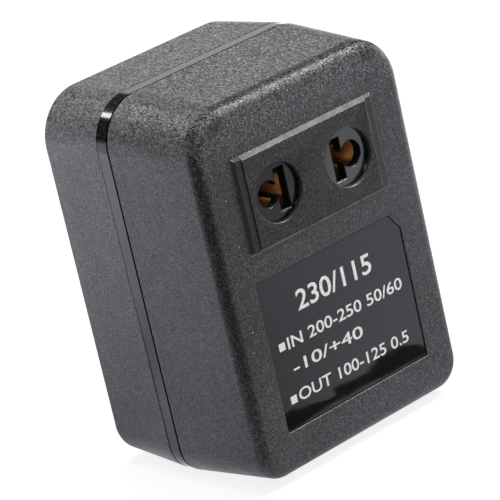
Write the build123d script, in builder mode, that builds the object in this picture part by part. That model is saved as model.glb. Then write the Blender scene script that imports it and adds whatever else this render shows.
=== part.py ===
from build123d import *
import os

os.makedirs("parts", exist_ok=True)

# All lengths are in millimetres. The origin is midway between the plug pins, on the flat rear face.
# X runs to the right as seen from the front, Y from the front face into the wall, and Z upwards.
# Heights of the casing are measured from the line through the socket and the plug pins.

# Casing: its outline at the seam, and how far each face is drawn in towards the front and the rear
body_depth = 38.0
front_shell_depth = 20.0
case_width = 48.1
case_top = 18.5
case_bottom = 48.1
case_top_radius = 8.0
case_bottom_radius = 5.6
front_side_draft = 1.1
front_top_draft = 1.4
front_bottom_draft = 1.6
front_top_radius = 8.2
front_bottom_radius = 4.8
front_edge_radius = 2.1
rear_side_draft = 0.55
rear_top_draft = 0.4
rear_bottom_draft = 0.5
rear_top_radius = 8.6
rear_bottom_radius = 6.4
rear_edge_radius = 0.6

# Walls and the lap joint at the seam
front_wall = 2.4
side_wall = 2.2
rear_wall = 2.2
band_width = 3.0
band_recess = 0.05
seam_gap = 0.5
lip_wall = 1.1
lap_clearance = 0.15
lap_reach = 2.75
lap_end_gap = 0.5

# Socket panel
panel_width = 31.6
panel_top = 8.4
panel_bottom = 8.15
panel_rise = 0.7
panel_bevel_angle = 45
panel_land = 1.9
panel_step_depth = 0.2

# Socket: blade slots, round pin holes outboard of them, and the recesses round both
blade_spacing = 12.7
slot_width = 2.0
slot_height = 7.1
pin_hole_offset = 2.95
pin_hole_radius = 2.15
recess_offset = 1.6
recess_radius = 5.0
recess_depth = 1.0
recess_edge_radius = 0.2
socket_wall = 1.6
socket_edge = 0.2
pin_reach = 19.0
pin_reach_clearance = 0.4

# Label and its pocket
pocket_width = 32.8
pocket_drop = 12.95
pocket_height = 26.45
pocket_depth = 0.5
pocket_cut_width = 2.2
pocket_cut_height = 3.0
pocket_corner_radius = 0.4
pocket_edge = 0.1
label_thickness = 0.2
label_clearance = 0.15

# Socket contacts, their pockets and their cover
contact_strip = 0.45
contact_clearance = 0.2
contact_fit = 0.2
contact_length = 12.5
contact_leaf_height = 6.0
contact_tail_height = 3.0
contact_rib = 1.1
cover_thickness = 1.8
cover_slot_clearance = 0.25
cover_post_radius = 2.2
cover_screw_spacing = 8.4

# Plug pins, their sleeves and retainer
plug_pin_spacing = 18.0
plug_pin_radius = 2.0
plug_pin_length = 19.0
plug_pin_tip_radius = 1.4
sleeve_length = 10.0
sleeve_radius = 1.8
sleeve_wall = 0.4
sleeve_clearance = 0.05
pin_clearance = 0.05
pin_flange_radius = 3.5
pin_flange_thickness = 1.5
pin_flange_clearance = 0.1
pin_stem_radius = 1.2
collar_wall = 1.0
collar_height = 3.0
retainer_thickness = 2.0
retainer_screw_spacing = 6.0
retainer_post_radius = 2.2
retainer_stem_clearance = 0.2

# Small self-tapping screws of the cover and the retainer
small_head_radius = 1.9
small_head_height = 1.2
small_shank_radius = 0.85
small_screw_length = 6.0
small_pilot_radius = 0.9
small_pilot_spare = 0.4
small_clearance_radius = 1.1
small_cross_width = 0.5
small_cross_span = 2.2
small_cross_depth = 0.6

# Screws that hold the shells together
shell_head_radius = 2.4
shell_head_height = 1.8
shell_head_clearance = 0.3
shell_shank_radius = 1.25
shell_screw_length = 12.0
shell_pilot_radius = 1.3
shell_pilot_spare = 0.8
shell_clearance_radius = 1.6
shell_cross_width = 0.7
shell_cross_span = 3.0
shell_cross_depth = 0.9
shell_head_depth = 9.0
boss_radius = 3.5
boss_joint_depth = 14.0
boss_merge = 0.3
boss_gap = 0.3

# Transformer core: its laminations fill the case between the socket and the floor
core_top_drop = 8.8
core_floor_gap = 0.7
core_side_fit = 0.2
pad_thickness = 1.0
pad_inset = 0.4
rail_height = 3.4
rail_width = 2.0
rail_offset = 7.0
cradle_rib = 1.5
cradle_length = 6.0

# Bobbin, windings and tapes
bobbin_wall = 0.9
bobbin_clearance = 0.15
flange_inset = 0.25
coil_window_gap = 0.8
layer_tape_thickness = 0.2
outer_tape_thickness = 0.25
common_winding_share = 0.54
winding_corner_radius = 1.2
winding_end_gap = 0.3

# Wire posts on the bobbin
terminal_block_height = 2.5
terminal_block_depth = 2.6
terminal_block_gap = 0.4
terminal_size = 0.7
terminal_clearance = 0.05
terminal_sunk = 2.0
terminal_rise = 4.0
terminal_pitch = 2.9

# Thermal cut-out beside the coil
fuse_radius = 2.0
fuse_length = 11.0
fuse_gap = 0.1
fuse_wall_gap = 0.65
fuse_edge_radius = 0.4
fuse_wire_radius = 0.35
fuse_wire_bend = 1.0
fuse_wire_rise = 7.0
fuse_wire_drop = 2.6

# Leads
bend_share = 0.4
lead_radius = 0.8
lead_gap = 0.1
lead_bend = 1.6
lead_reach = 3.0
lead_drop = 3.0
lead_lap = 1.9

# Places that follow from the sizes above
front_y = -body_depth
seam_y = front_y + front_shell_depth
band_rear_y = seam_y + band_width
front_inner_y = front_y + front_wall
panel_y = front_y - panel_rise
recess_floor_y = panel_y + recess_depth
contact_front_y = recess_floor_y + socket_wall
cover_front_y = recess_floor_y + pin_reach + pin_reach_clearance
cover_rear_y = cover_front_y + cover_thickness
boss_joint_y = -boss_joint_depth
collar_y = -rear_wall - collar_height
retainer_y = collar_y - retainer_thickness
wiring_y = (cover_rear_y + retainer_y) / 2
front_width = case_width - 2 * front_side_draft
front_top = case_top - front_top_draft
front_bottom = case_bottom - front_bottom_draft
rear_width = case_width - 2 * rear_side_draft
rear_top = case_top - rear_top_draft
rear_bottom = case_bottom - rear_bottom_draft
front_size = (front_width, front_top, front_bottom, front_top_radius, front_bottom_radius)
seam_size = (case_width, case_top, case_bottom, case_top_radius, case_bottom_radius)
rear_size = (rear_width, rear_top, rear_bottom, rear_top_radius, rear_bottom_radius)
core_front_y = front_inner_y + pad_thickness
core_rear_y = -rear_wall - rail_height
core_base_z = -(front_bottom - side_wall - core_floor_gap)
core_height = -core_top_drop - core_base_z
core_z = core_base_z + core_height / 2
limb_width = core_height / 6
window_front_y = core_front_y + limb_width
window_rear_y = core_rear_y - limb_width
sides = {"left": -1, "right": 1}


def boss_place(front, seam, rear):
    """Return how far out a screw boss stands, clear of the lap joint and inside both shells."""
    return min(front + boss_merge, seam - boss_gap, rear + boss_merge) - side_wall - boss_radius


boss_x = boss_place(front_width / 2, case_width / 2, rear_width / 2)
boss_top_z = boss_place(front_top, case_top, rear_top)
boss_bottom_z = -boss_place(front_bottom, case_bottom, rear_bottom)
boss_points = [(side * boss_x, z) for side in (-1, 1) for z in (boss_top_z, boss_bottom_z)]
recess_x = blade_spacing / 2 + recess_offset
pin_hole_x = blade_spacing / 2 + pin_hole_offset
leaf_x = blade_spacing / 2 - slot_width / 2 - contact_clearance - contact_strip / 2
coil_grow = limb_width - bobbin_clearance - coil_window_gap
copper_build = coil_grow - bobbin_wall - layer_tape_thickness - outer_tape_thickness
common_build = copper_build * common_winding_share
core_room = min(front_width, rear_width) / 2 - side_wall - fuse_wall_gap - 2 * fuse_radius - fuse_gap
core_stack = 2 * (core_room - coil_grow - bobbin_clearance)


def at_depth(y):
    """Return the upright plane at a depth, facing the front, with X to the right and Z upwards."""
    return Plane.XZ.offset(-y)


def casing_outline(size, inset=0):
    """Return the casing's rounded outline of one section, drawn in by an inset."""
    width, top, bottom, top_radius, bottom_radius = size
    with BuildSketch() as outline:
        with Locations((0, (top - bottom) / 2)):
            Rectangle(width - 2 * inset, top + bottom - 2 * inset)
        fillet(outline.vertices().group_by(Axis.Y)[-1], top_radius - inset)
        fillet(outline.vertices().group_by(Axis.Y)[0], bottom_radius - inset)
    return outline.sketch


def keyhole(side, grow=0):
    """Return one side's blade slot joined to its round pin hole, grown by a margin."""
    with BuildSketch() as outline:
        with Locations((side * blade_spacing / 2, 0)):
            Rectangle(slot_width + 2 * grow, slot_height + 2 * grow)
        with Locations((side * pin_hole_x, 0)):
            Circle(pin_hole_radius + grow)
    return outline.sketch


def pan_screw(head_radius, head_height, shank_radius, length, cross_width, cross_span, cross_depth):
    """Return a pan-head screw with a cross recess, seated at the origin, its shank along -Y."""
    with BuildPart() as screw:
        with BuildSketch(Plane.XZ):
            Circle(head_radius)
        extrude(amount=-head_height)
        fillet(screw.edges().group_by(Axis.Y)[-1], head_height / 2)
        with BuildSketch(Plane.XZ):
            Circle(shank_radius)
        extrude(amount=length)
        chamfer(screw.edges().group_by(Axis.Y)[0], shank_radius / 2)
        with BuildSketch(at_depth(head_height)):
            Rectangle(cross_span, cross_width)
            Rectangle(cross_width, cross_span)
        extrude(amount=cross_depth, mode=Mode.SUBTRACT)
    return screw.part


def wire(points, radius, bend):
    """Return a round wire along a bent route, its bends no larger than its shortest run allows."""
    shortest_run = min((Vector(end) - Vector(start)).length for start, end in zip(points, points[1:]))
    with BuildPart() as lead:
        with BuildLine() as route:
            FilletPolyline(*points, radius=min(bend, bend_share * shortest_run))
        with BuildSketch(Plane(origin=route.line @ 0, z_dir=route.line % 0)):
            Circle(radius)
        sweep()
    return lead.part


# Front shell: the solid outer form
with BuildPart() as front_block:
    with BuildSketch(at_depth(front_y)):
        add(casing_outline(front_size))
    with BuildSketch(at_depth(seam_y)):
        add(casing_outline(seam_size))
    loft()
    fillet(front_block.faces().sort_by(Axis.Y)[0].edges(), front_edge_radius)

# Front shell: contact pockets, screw posts, core shelves and cradle ribs inside it
contact_grow = contact_clearance + contact_strip
pocket_inner_x = blade_spacing / 2 - slot_width / 2 - contact_grow - contact_fit
pocket_outer_x = pin_hole_x + pin_hole_radius + contact_grow + contact_fit
contact_pocket_x = (pocket_inner_x + pocket_outer_x) / 2
contact_pocket_width = pocket_outer_x - pocket_inner_x
contact_pocket_height = slot_height + 2 * (contact_grow + contact_fit)
cover_post_points = [(0, cover_screw_spacing / 2), (0, -cover_screw_spacing / 2)]
shelf_end_y = seam_y - lap_reach - 2 * lap_end_gap
outer_limb_zs = (core_z - core_height / 2 + limb_width / 2, core_z + core_height / 2 - limb_width / 2)


def shell_bottom(y):
    """Return how far below the socket line the front shell's outer floor lies at a depth."""
    share = (y - front_y) / front_shell_depth
    return front_bottom + front_bottom_draft * share


with BuildPart() as front_fittings:
    with BuildSketch(at_depth(cover_front_y)):
        with Locations(*[(side * contact_pocket_x, 0) for side in (-1, 1)]):
            Rectangle(contact_pocket_width + 2 * contact_rib, contact_pocket_height + 2 * contact_rib)
            Rectangle(contact_pocket_width, contact_pocket_height, mode=Mode.SUBTRACT)
        with Locations(*cover_post_points):
            Circle(cover_post_radius)
            Circle(small_pilot_radius, mode=Mode.SUBTRACT)
    extrude(amount=cover_front_y - front_inner_y)
    with BuildSketch(at_depth(boss_joint_y)):
        with Locations(*boss_points):
            Circle(boss_radius)
    extrude(amount=boss_joint_y - front_inner_y)
    with BuildSketch(at_depth(boss_joint_y)):
        with Locations(*boss_points):
            Circle(shell_pilot_radius)
    pilot_depth = shell_screw_length - (boss_joint_depth - shell_head_depth) + shell_pilot_spare
    extrude(amount=pilot_depth, mode=Mode.SUBTRACT)
    for side in (-1, 1):
        with BuildSketch(Plane.YZ.offset(side * rail_offset - rail_width / 2)):
            with BuildLine():
                Polyline(
                    (front_inner_y, core_base_z),
                    (shelf_end_y, core_base_z),
                    (shelf_end_y, side_wall / 2 - shell_bottom(shelf_end_y)),
                    (front_inner_y, side_wall / 2 - shell_bottom(front_inner_y)),
                    close=True,
                )
            make_face()
        extrude(amount=rail_width)
    with BuildSketch(at_depth(front_inner_y)):
        cradle_x = core_stack / 2 + core_side_fit + cradle_rib / 2
        with Locations(*[(side * cradle_x, z) for side in (-1, 1) for z in outer_limb_zs]):
            Rectangle(cradle_rib, limb_width - 2 * pad_inset)
    extrude(amount=-cradle_length)

# Front shell
with BuildPart() as front_shell:
    add(front_block.part)
    with BuildSketch(at_depth(front_inner_y)):
        add(casing_outline(front_size, side_wall))
    with BuildSketch(at_depth(seam_y)):
        add(casing_outline(seam_size, side_wall))
    loft(mode=Mode.SUBTRACT)
    with BuildSketch(at_depth(seam_y)):
        add(casing_outline(seam_size, lip_wall))
    extrude(amount=lap_reach + lap_end_gap, mode=Mode.SUBTRACT)
    add(front_fittings.part)
    with BuildSketch(at_depth(front_y)):
        with Locations((0, (panel_top - panel_bottom) / 2)):
            Rectangle(panel_width, panel_top + panel_bottom)
    extrude(amount=panel_rise, taper=panel_bevel_angle)
    with BuildSketch(at_depth(panel_y)):
        land_x = panel_width / 2 - panel_land / 2
        with Locations(*[(side * land_x, (panel_top - panel_bottom) / 2) for side in (-1, 1)]):
            Rectangle(panel_land, panel_top + panel_bottom)
    extrude(amount=-panel_step_depth, mode=Mode.SUBTRACT)
    with BuildSketch(at_depth(panel_y)):
        with Locations(*[(side * recess_x, 0) for side in (-1, 1)]):
            Circle(recess_radius)
    extrude(amount=-recess_depth, mode=Mode.SUBTRACT)
    with BuildSketch(at_depth(front_inner_y)):
        with Locations(*[(side * contact_pocket_x, 0) for side in (-1, 1)]):
            Rectangle(contact_pocket_width, contact_pocket_height)
    extrude(amount=front_inner_y - contact_front_y, mode=Mode.SUBTRACT)
    with BuildSketch(at_depth(recess_floor_y)):
        for side in (-1, 1):
            add(keyhole(side))
    extrude(amount=-socket_wall, mode=Mode.SUBTRACT)
    fillet(
        front_shell.edges().filter_by(GeomType.CIRCLE).filter_by(
            lambda edge: abs(edge.radius - recess_radius) < recess_edge_radius
        ).group_by(Axis.Y)[0],
        recess_edge_radius,
    )
    keyhole_edges = front_shell.edges().filter_by_position(
        Axis.Y, recess_floor_y - socket_edge / 2, recess_floor_y + socket_edge / 2
    ).filter_by(
        lambda edge: edge.geom_type != GeomType.CIRCLE or edge.radius < recess_radius - socket_edge
    )
    chamfer(keyhole_edges, socket_edge)
    with BuildSketch(at_depth(front_y)) as pocket_drawing:
        with BuildLine():
            Polyline(
                (-pocket_width / 2, -pocket_drop),
                (pocket_width / 2 - pocket_cut_width, -pocket_drop),
                (pocket_width / 2, -pocket_drop - pocket_cut_height),
                (pocket_width / 2, -pocket_drop - pocket_height),
                (-pocket_width / 2, -pocket_drop - pocket_height),
                close=True,
            )
        make_face()
        fillet(pocket_drawing.vertices(), pocket_corner_radius)
    extrude(amount=-pocket_depth, mode=Mode.SUBTRACT)
    pocket_edges = front_shell.edges().filter_by_position(
        Axis.Y, front_y - pocket_edge / 2, front_y + pocket_edge / 2
    ).filter_by(
        lambda edge: abs(edge.center().X) < pocket_width / 2 + pocket_edge
        and edge.center().Z < pocket_edge - pocket_drop
        and edge.center().Z > -pocket_drop - pocket_height - pocket_edge
    )
    chamfer(pocket_edges, pocket_edge)
front_shell.part.label = "front_shell"
export_step(front_shell.part, "parts/front_shell.step")

# Rating label
with BuildPart() as rating_label:
    with BuildSketch(at_depth(front_y + pocket_depth)):
        add(pocket_drawing.sketch_local)
        offset(amount=-label_clearance, mode=Mode.REPLACE)
    extrude(amount=label_thickness)
rating_label.part.label = "rating_label"
export_step(rating_label.part, "parts/rating_label.step")

# Rear shell
retainer_post_points = [(0, retainer_screw_spacing / 2), (0, -retainer_screw_spacing / 2)]
plug_points = [(side * plug_pin_spacing / 2, 0) for side in (-1, 1)]
with BuildPart() as rear_shell:
    with BuildSketch(at_depth(band_rear_y)):
        add(casing_outline(seam_size))
    with BuildSketch(at_depth(0)):
        add(casing_outline(rear_size))
    loft()
    fillet(rear_shell.faces().sort_by(Axis.Y)[-1].edges(), rear_edge_radius)
    with BuildSketch(at_depth(band_rear_y)):
        add(casing_outline(seam_size, band_recess))
    extrude(amount=band_width - seam_gap)
    with BuildSketch(at_depth(seam_y + seam_gap)):
        add(casing_outline(seam_size, lip_wall + lap_clearance))
    extrude(amount=seam_gap + lap_reach)
    with BuildSketch(at_depth(band_rear_y)):
        add(casing_outline(seam_size, side_wall))
    with BuildSketch(at_depth(-rear_wall)):
        add(casing_outline(rear_size, side_wall))
    loft(mode=Mode.SUBTRACT)
    with BuildSketch(at_depth(band_rear_y)):
        add(casing_outline(seam_size, side_wall))
    extrude(amount=band_width + lap_reach, mode=Mode.SUBTRACT)
    with BuildSketch(at_depth(-rear_wall)):
        with Locations(*boss_points):
            Circle(boss_radius)
    extrude(amount=boss_joint_depth - rear_wall)
    with BuildSketch(at_depth(0)):
        with Locations(*boss_points):
            Circle(shell_head_radius + shell_head_clearance)
    extrude(amount=shell_head_depth, mode=Mode.SUBTRACT)
    with BuildSketch(at_depth(-shell_head_depth)):
        with Locations(*boss_points):
            Circle(shell_clearance_radius)
    extrude(amount=boss_joint_depth - shell_head_depth, mode=Mode.SUBTRACT)
    with BuildSketch(at_depth(-rear_wall)):
        with Locations(*plug_points):
            Circle(pin_flange_radius + pin_flange_clearance + collar_wall)
        with Locations(*retainer_post_points):
            Circle(retainer_post_radius)
    extrude(amount=collar_height)
    with BuildSketch(at_depth(collar_y + pin_flange_thickness)):
        with Locations(*plug_points):
            Circle(pin_flange_radius + pin_flange_clearance)
    extrude(amount=pin_flange_thickness, mode=Mode.SUBTRACT)
    with BuildSketch(at_depth(0)):
        with Locations(*plug_points):
            Circle(plug_pin_radius + pin_clearance)
    extrude(amount=-collar_y, mode=Mode.SUBTRACT)
    with BuildSketch(at_depth(collar_y)):
        with Locations(*retainer_post_points):
            Circle(small_pilot_radius)
    extrude(amount=-(small_screw_length - retainer_thickness + small_pilot_spare), mode=Mode.SUBTRACT)
    with BuildSketch(at_depth(-rear_wall)):
        with Locations(*[(side * rail_offset, core_z) for side in (-1, 1)]):
            Rectangle(rail_width, core_height - 2 * pad_inset)
    extrude(amount=rail_height)
rear_shell.part.label = "rear_shell"
export_step(rear_shell.part, "parts/rear_shell.step")

# Socket contacts
for name, side in sides.items():
    with BuildPart() as socket_contact:
        with BuildSketch(at_depth(contact_front_y)):
            add(keyhole(side, contact_grow))
            add(keyhole(side, contact_clearance), mode=Mode.SUBTRACT)
            with Locations((side * blade_spacing / 2, slot_height / 2 + contact_clearance + contact_strip / 2)):
                Rectangle(slot_width + 2 * contact_clearance, contact_strip, mode=Mode.SUBTRACT)
        extrude(amount=-contact_length)
        with BuildSketch(at_depth(contact_front_y + contact_length)):
            with Locations((side * leaf_x, 0)):
                Rectangle(contact_strip, contact_leaf_height)
        extrude(amount=contact_front_y + contact_length - cover_front_y)
        with BuildSketch(at_depth(cover_front_y)):
            with Locations((side * leaf_x, 0)):
                Rectangle(contact_strip, contact_tail_height)
        extrude(amount=cover_front_y - wiring_y)
    socket_contact.part.label = f"socket_contact_{name}"
    export_step(socket_contact.part, f"parts/socket_contact_{name}.step")

# Contact cover
cover_width = 2 * (pocket_outer_x + contact_rib)
cover_height = cover_screw_spacing + 2 * cover_post_radius
with BuildPart() as contact_cover:
    with BuildSketch(at_depth(cover_front_y)):
        RectangleRounded(cover_width, cover_height, contact_rib)
        with Locations(*cover_post_points):
            Circle(small_clearance_radius, mode=Mode.SUBTRACT)
        with Locations(*[(side * leaf_x, 0) for side in (-1, 1)]):
            Rectangle(
                contact_strip + 2 * cover_slot_clearance,
                contact_tail_height + 2 * cover_slot_clearance,
                mode=Mode.SUBTRACT,
            )
    extrude(amount=-cover_thickness)
contact_cover.part.label = "contact_cover"
export_step(contact_cover.part, "parts/contact_cover.step")

# Contact cover screws
small_screw = pan_screw(
    small_head_radius,
    small_head_height,
    small_shank_radius,
    small_screw_length,
    small_cross_width,
    small_cross_span,
    small_cross_depth,
)
with BuildPart() as contact_cover_screws:
    with Locations(*[(x, cover_rear_y, z) for x, z in cover_post_points]):
        add(small_screw)
contact_cover_screws.part.label = "contact_cover_screws"
export_step(contact_cover_screws.part, "parts/contact_cover_screws.step")

# Plug pins and their sleeves
sleeve_inner_radius = sleeve_radius - sleeve_wall
for name, side in sides.items():
    place = (side * plug_pin_spacing / 2, 0)
    with BuildPart() as plug_pin:
        with BuildSketch(at_depth(plug_pin_length)):
            with Locations(place):
                Circle(plug_pin_radius)
        extrude(amount=plug_pin_length - sleeve_length)
        fillet(plug_pin.edges().group_by(Axis.Y)[-1], plug_pin_tip_radius)
        with BuildSketch(at_depth(sleeve_length)):
            with Locations(place):
                Circle(sleeve_inner_radius - sleeve_clearance)
        extrude(amount=sleeve_length)
        with BuildSketch(at_depth(0)):
            with Locations(place):
                Circle(plug_pin_radius)
        extrude(amount=-collar_y)
        with BuildSketch(at_depth(collar_y + pin_flange_thickness)):
            with Locations(place):
                Circle(pin_flange_radius)
        extrude(amount=pin_flange_thickness)
        with BuildSketch(at_depth(collar_y)):
            with Locations(place):
                Circle(pin_stem_radius)
        extrude(amount=collar_y - wiring_y)
    plug_pin.part.label = f"plug_pin_{name}"
    export_step(plug_pin.part, f"parts/plug_pin_{name}.step")
    with BuildPart() as pin_sleeve:
        with BuildSketch(at_depth(sleeve_length)):
            with Locations(place):
                Circle(sleeve_radius)
                Circle(sleeve_inner_radius, mode=Mode.SUBTRACT)
        extrude(amount=sleeve_length)
    pin_sleeve.part.label = f"pin_sleeve_{name}"
    export_step(pin_sleeve.part, f"parts/pin_sleeve_{name}.step")

# Pin retainer
retainer_width = plug_pin_spacing + 2 * (pin_flange_radius + pin_flange_clearance + collar_wall)
retainer_height = retainer_screw_spacing + 2 * retainer_post_radius
with BuildPart() as pin_retainer:
    with BuildSketch(at_depth(collar_y)):
        RectangleRounded(retainer_width, retainer_height, retainer_post_radius)
        with Locations(*plug_points):
            Circle(pin_stem_radius + retainer_stem_clearance, mode=Mode.SUBTRACT)
        with Locations(*retainer_post_points):
            Circle(small_clearance_radius, mode=Mode.SUBTRACT)
    extrude(amount=retainer_thickness)
pin_retainer.part.label = "pin_retainer"
export_step(pin_retainer.part, "parts/pin_retainer.step")

# Pin retainer screws, driven the other way
with BuildPart() as pin_retainer_screws:
    with Locations(*[(x, retainer_y, z) for x, z in retainer_post_points]):
        add(small_screw, rotation=(0, 0, 180))
pin_retainer_screws.part.label = "pin_retainer_screws"
export_step(pin_retainer_screws.part, "parts/pin_retainer_screws.step")

# Shell screws
shell_screw = pan_screw(
    shell_head_radius,
    shell_head_height,
    shell_shank_radius,
    shell_screw_length,
    shell_cross_width,
    shell_cross_span,
    shell_cross_depth,
)
with BuildPart() as shell_screws:
    with Locations(*[(x, -shell_head_depth, z) for x, z in boss_points]):
        add(shell_screw)
shell_screws.part.label = "shell_screws"
export_step(shell_screws.part, "parts/shell_screws.step")

# Core: the E laminations with their back to the front shell, and the I laminations behind them
with BuildPart() as core_e_stack:
    with BuildSketch(Plane.YZ.offset(-core_stack / 2)):
        with Locations(((core_front_y + window_rear_y) / 2, core_z)):
            Rectangle(window_rear_y - core_front_y, core_height)
        window_y = (window_front_y + window_rear_y) / 2
        with Locations(*[(window_y, core_z + level * 1.5 * limb_width) for level in (-1, 1)]):
            Rectangle(window_rear_y - window_front_y, limb_width, mode=Mode.SUBTRACT)
    extrude(amount=core_stack)
core_e_stack.part.label = "core_e_stack"
export_step(core_e_stack.part, "parts/core_e_stack.step")

with BuildPart() as core_i_stack:
    with BuildSketch(Plane.YZ.offset(-core_stack / 2)):
        with Locations(((window_rear_y + core_rear_y) / 2, core_z)):
            Rectangle(limb_width, core_height)
    extrude(amount=core_stack)
core_i_stack.part.label = "core_i_stack"
export_step(core_i_stack.part, "parts/core_i_stack.step")

# Foam pads between the core's outer limbs and the front shell
with BuildPart() as core_pads:
    with BuildSketch(at_depth(core_front_y)):
        with Locations(*[(0, z) for z in outer_limb_zs]):
            Rectangle(core_stack - 2 * pad_inset, limb_width - 2 * pad_inset)
    extrude(amount=pad_thickness)
core_pads.part.label = "core_pads"
export_step(core_pads.part, "parts/core_pads.step")

# Coil: each layer is a rectangular sleeve round the middle limb
tube_width = core_stack + 2 * bobbin_clearance
tube_height = 2 * limb_width + 2 * bobbin_clearance
bobbin_front_y = window_front_y + bobbin_clearance
bobbin_rear_y = window_rear_y - bobbin_clearance
coil_front_y = bobbin_front_y + bobbin_wall + winding_end_gap
coil_rear_y = bobbin_rear_y - bobbin_wall - winding_end_gap


def sleeve_outline(grow):
    """Return the coil's rounded outline, grown from the bobbin's bore."""
    with BuildSketch() as outline:
        with Locations((0, core_z)):
            if grow > winding_corner_radius:
                RectangleRounded(tube_width + 2 * grow, tube_height + 2 * grow, winding_corner_radius)
            else:
                Rectangle(tube_width + 2 * grow, tube_height + 2 * grow)
    return outline.sketch


layers = [
    ("common_winding", common_build),
    ("layer_tape", layer_tape_thickness),
    ("series_winding", copper_build - common_build),
    ("outer_tape", outer_tape_thickness),
]
inner_grow = bobbin_wall
for name, build in layers:
    with BuildPart() as layer:
        with BuildSketch(at_depth(coil_rear_y)):
            add(sleeve_outline(inner_grow + build))
            add(sleeve_outline(inner_grow), mode=Mode.SUBTRACT)
        extrude(amount=coil_rear_y - coil_front_y)
    layer.part.label = name
    export_step(layer.part, f"parts/{name}.step")
    inner_grow += build

# Bobbin: tube, end flanges and the terminal blocks on the rear flange
flange_grow = limb_width - flange_inset - bobbin_clearance
flange_top_z = core_z + tube_height / 2 + flange_grow
flange_half_width = tube_width / 2 + flange_grow
block_inner_x = core_stack / 2 + terminal_block_gap
block_width = flange_half_width - block_inner_x
block_x = block_inner_x + block_width / 2
terminal_y = bobbin_rear_y - terminal_block_depth / 2
terminal_xs = {"inner": block_x - terminal_pitch / 2, "outer": block_x + terminal_pitch / 2}
terminal_points = [(side * x, terminal_y) for side in (-1, 1) for x in terminal_xs.values()]
with BuildPart() as bobbin:
    with BuildSketch(at_depth(bobbin_rear_y)):
        add(sleeve_outline(bobbin_wall))
    extrude(amount=bobbin_rear_y - bobbin_front_y)
    with BuildSketch(at_depth(bobbin_rear_y)):
        add(sleeve_outline(flange_grow))
    extrude(amount=bobbin_wall)
    with BuildSketch(at_depth(bobbin_front_y)):
        add(sleeve_outline(flange_grow))
    extrude(amount=-bobbin_wall)
    with BuildSketch(at_depth(bobbin_rear_y)):
        with Locations(*[(side * block_x, flange_top_z) for side in (-1, 1)]):
            Rectangle(block_width, 2 * terminal_block_height)
    extrude(amount=bobbin_wall)
    with BuildSketch(Plane.XY.offset(flange_top_z)):
        with Locations(*[(side * block_x, terminal_y) for side in (-1, 1)]):
            Rectangle(block_width, terminal_block_depth)
    extrude(amount=terminal_block_height)
    with BuildSketch(Plane.XY.offset(flange_top_z + terminal_block_height)):
        with Locations(*terminal_points):
            Rectangle(terminal_size + 2 * terminal_clearance, terminal_size + 2 * terminal_clearance)
    extrude(amount=-terminal_sunk, mode=Mode.SUBTRACT)
    with BuildSketch(at_depth(bobbin_rear_y)):
        add(sleeve_outline(0))
    extrude(amount=bobbin_rear_y - bobbin_front_y, mode=Mode.SUBTRACT)
bobbin.part.label = "bobbin"
export_step(bobbin.part, "parts/bobbin.step")

# Wire posts
terminal_top_z = flange_top_z + terminal_block_height + terminal_rise
with BuildPart() as bobbin_terminals:
    with BuildSketch(Plane.XY.offset(flange_top_z + terminal_block_height - terminal_sunk)):
        with Locations(*terminal_points):
            Rectangle(terminal_size, terminal_size)
    extrude(amount=terminal_sunk + terminal_rise)
bobbin_terminals.part.label = "bobbin_terminals"
export_step(bobbin_terminals.part, "parts/bobbin_terminals.step")

# Thermal cut-out, upright beside the coil, with its upper wire at the outer right post
fuse_x = tube_width / 2 + coil_grow + fuse_gap + fuse_radius
fuse_y = (coil_front_y + coil_rear_y) / 2
fuse_top_z = core_z + fuse_length / 2
fuse_base_z = core_z - fuse_length / 2
post_side_x = terminal_xs["outer"] + terminal_size / 2 + fuse_wire_radius
coil_base_z = core_z - tube_height / 2 - coil_grow
with BuildPart() as thermal_fuse:
    with BuildSketch(Plane.XY.offset(fuse_base_z)):
        with Locations((fuse_x, fuse_y)):
            Circle(fuse_radius)
    extrude(amount=fuse_length)
    fillet(thermal_fuse.edges().filter_by(GeomType.CIRCLE), fuse_edge_radius)
    add(
        wire(
            [
                (fuse_x, fuse_y, fuse_top_z - fuse_edge_radius),
                (fuse_x, fuse_y, fuse_top_z + fuse_wire_rise),
                (post_side_x, terminal_y, terminal_top_z - 2 * fuse_wire_bend),
                (post_side_x, terminal_y, terminal_top_z),
            ],
            fuse_wire_radius,
            fuse_wire_bend,
        )
    )
    add(
        wire(
            [
                (fuse_x, fuse_y, fuse_base_z + fuse_edge_radius),
                (fuse_x, fuse_y, fuse_base_z - fuse_wire_drop),
                (fuse_x - fuse_radius, fuse_y, coil_base_z - 2 * fuse_wire_radius),
                (fuse_x - 2 * fuse_radius, fuse_y, coil_base_z - 2 * fuse_wire_radius),
            ],
            fuse_wire_radius,
            fuse_wire_bend,
        )
    )
thermal_fuse.part.label = "thermal_fuse"
export_step(thermal_fuse.part, "parts/thermal_fuse.step")

# Leads from the plug pins to the outer posts, and from the contacts to the inner posts
for name, side in sides.items():
    pin_x = plug_pin_spacing / 2
    pin_lead_y = wiring_y - lead_gap
    pin_lead = wire(
        [
            (side * pin_x, pin_lead_y, 0),
            (side * pin_x, pin_lead_y - lead_reach, 0),
            (side * terminal_xs["outer"], terminal_y, -lead_drop),
            (side * terminal_xs["outer"], terminal_y, terminal_top_z + lead_gap),
        ],
        lead_radius,
        lead_bend,
    )
    pin_lead.label = f"pin_lead_{name}"
    export_step(pin_lead, f"parts/pin_lead_{name}.step")
    contact_x = leaf_x + contact_strip / 2 + lead_gap + lead_radius
    contact_lead_y = wiring_y - lead_lap
    contact_lead = wire(
        [
            (side * contact_x, contact_lead_y, contact_tail_height / 2),
            (side * contact_x, contact_lead_y, -lead_drop),
            (side * terminal_xs["inner"], terminal_y, terminal_top_z + lead_reach),
            (side * terminal_xs["inner"], terminal_y, terminal_top_z + lead_gap),
        ],
        lead_radius,
        lead_bend,
    )
    contact_lead.label = f"contact_lead_{name}"
    export_step(contact_lead, f"parts/contact_lead_{name}.step")
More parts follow.
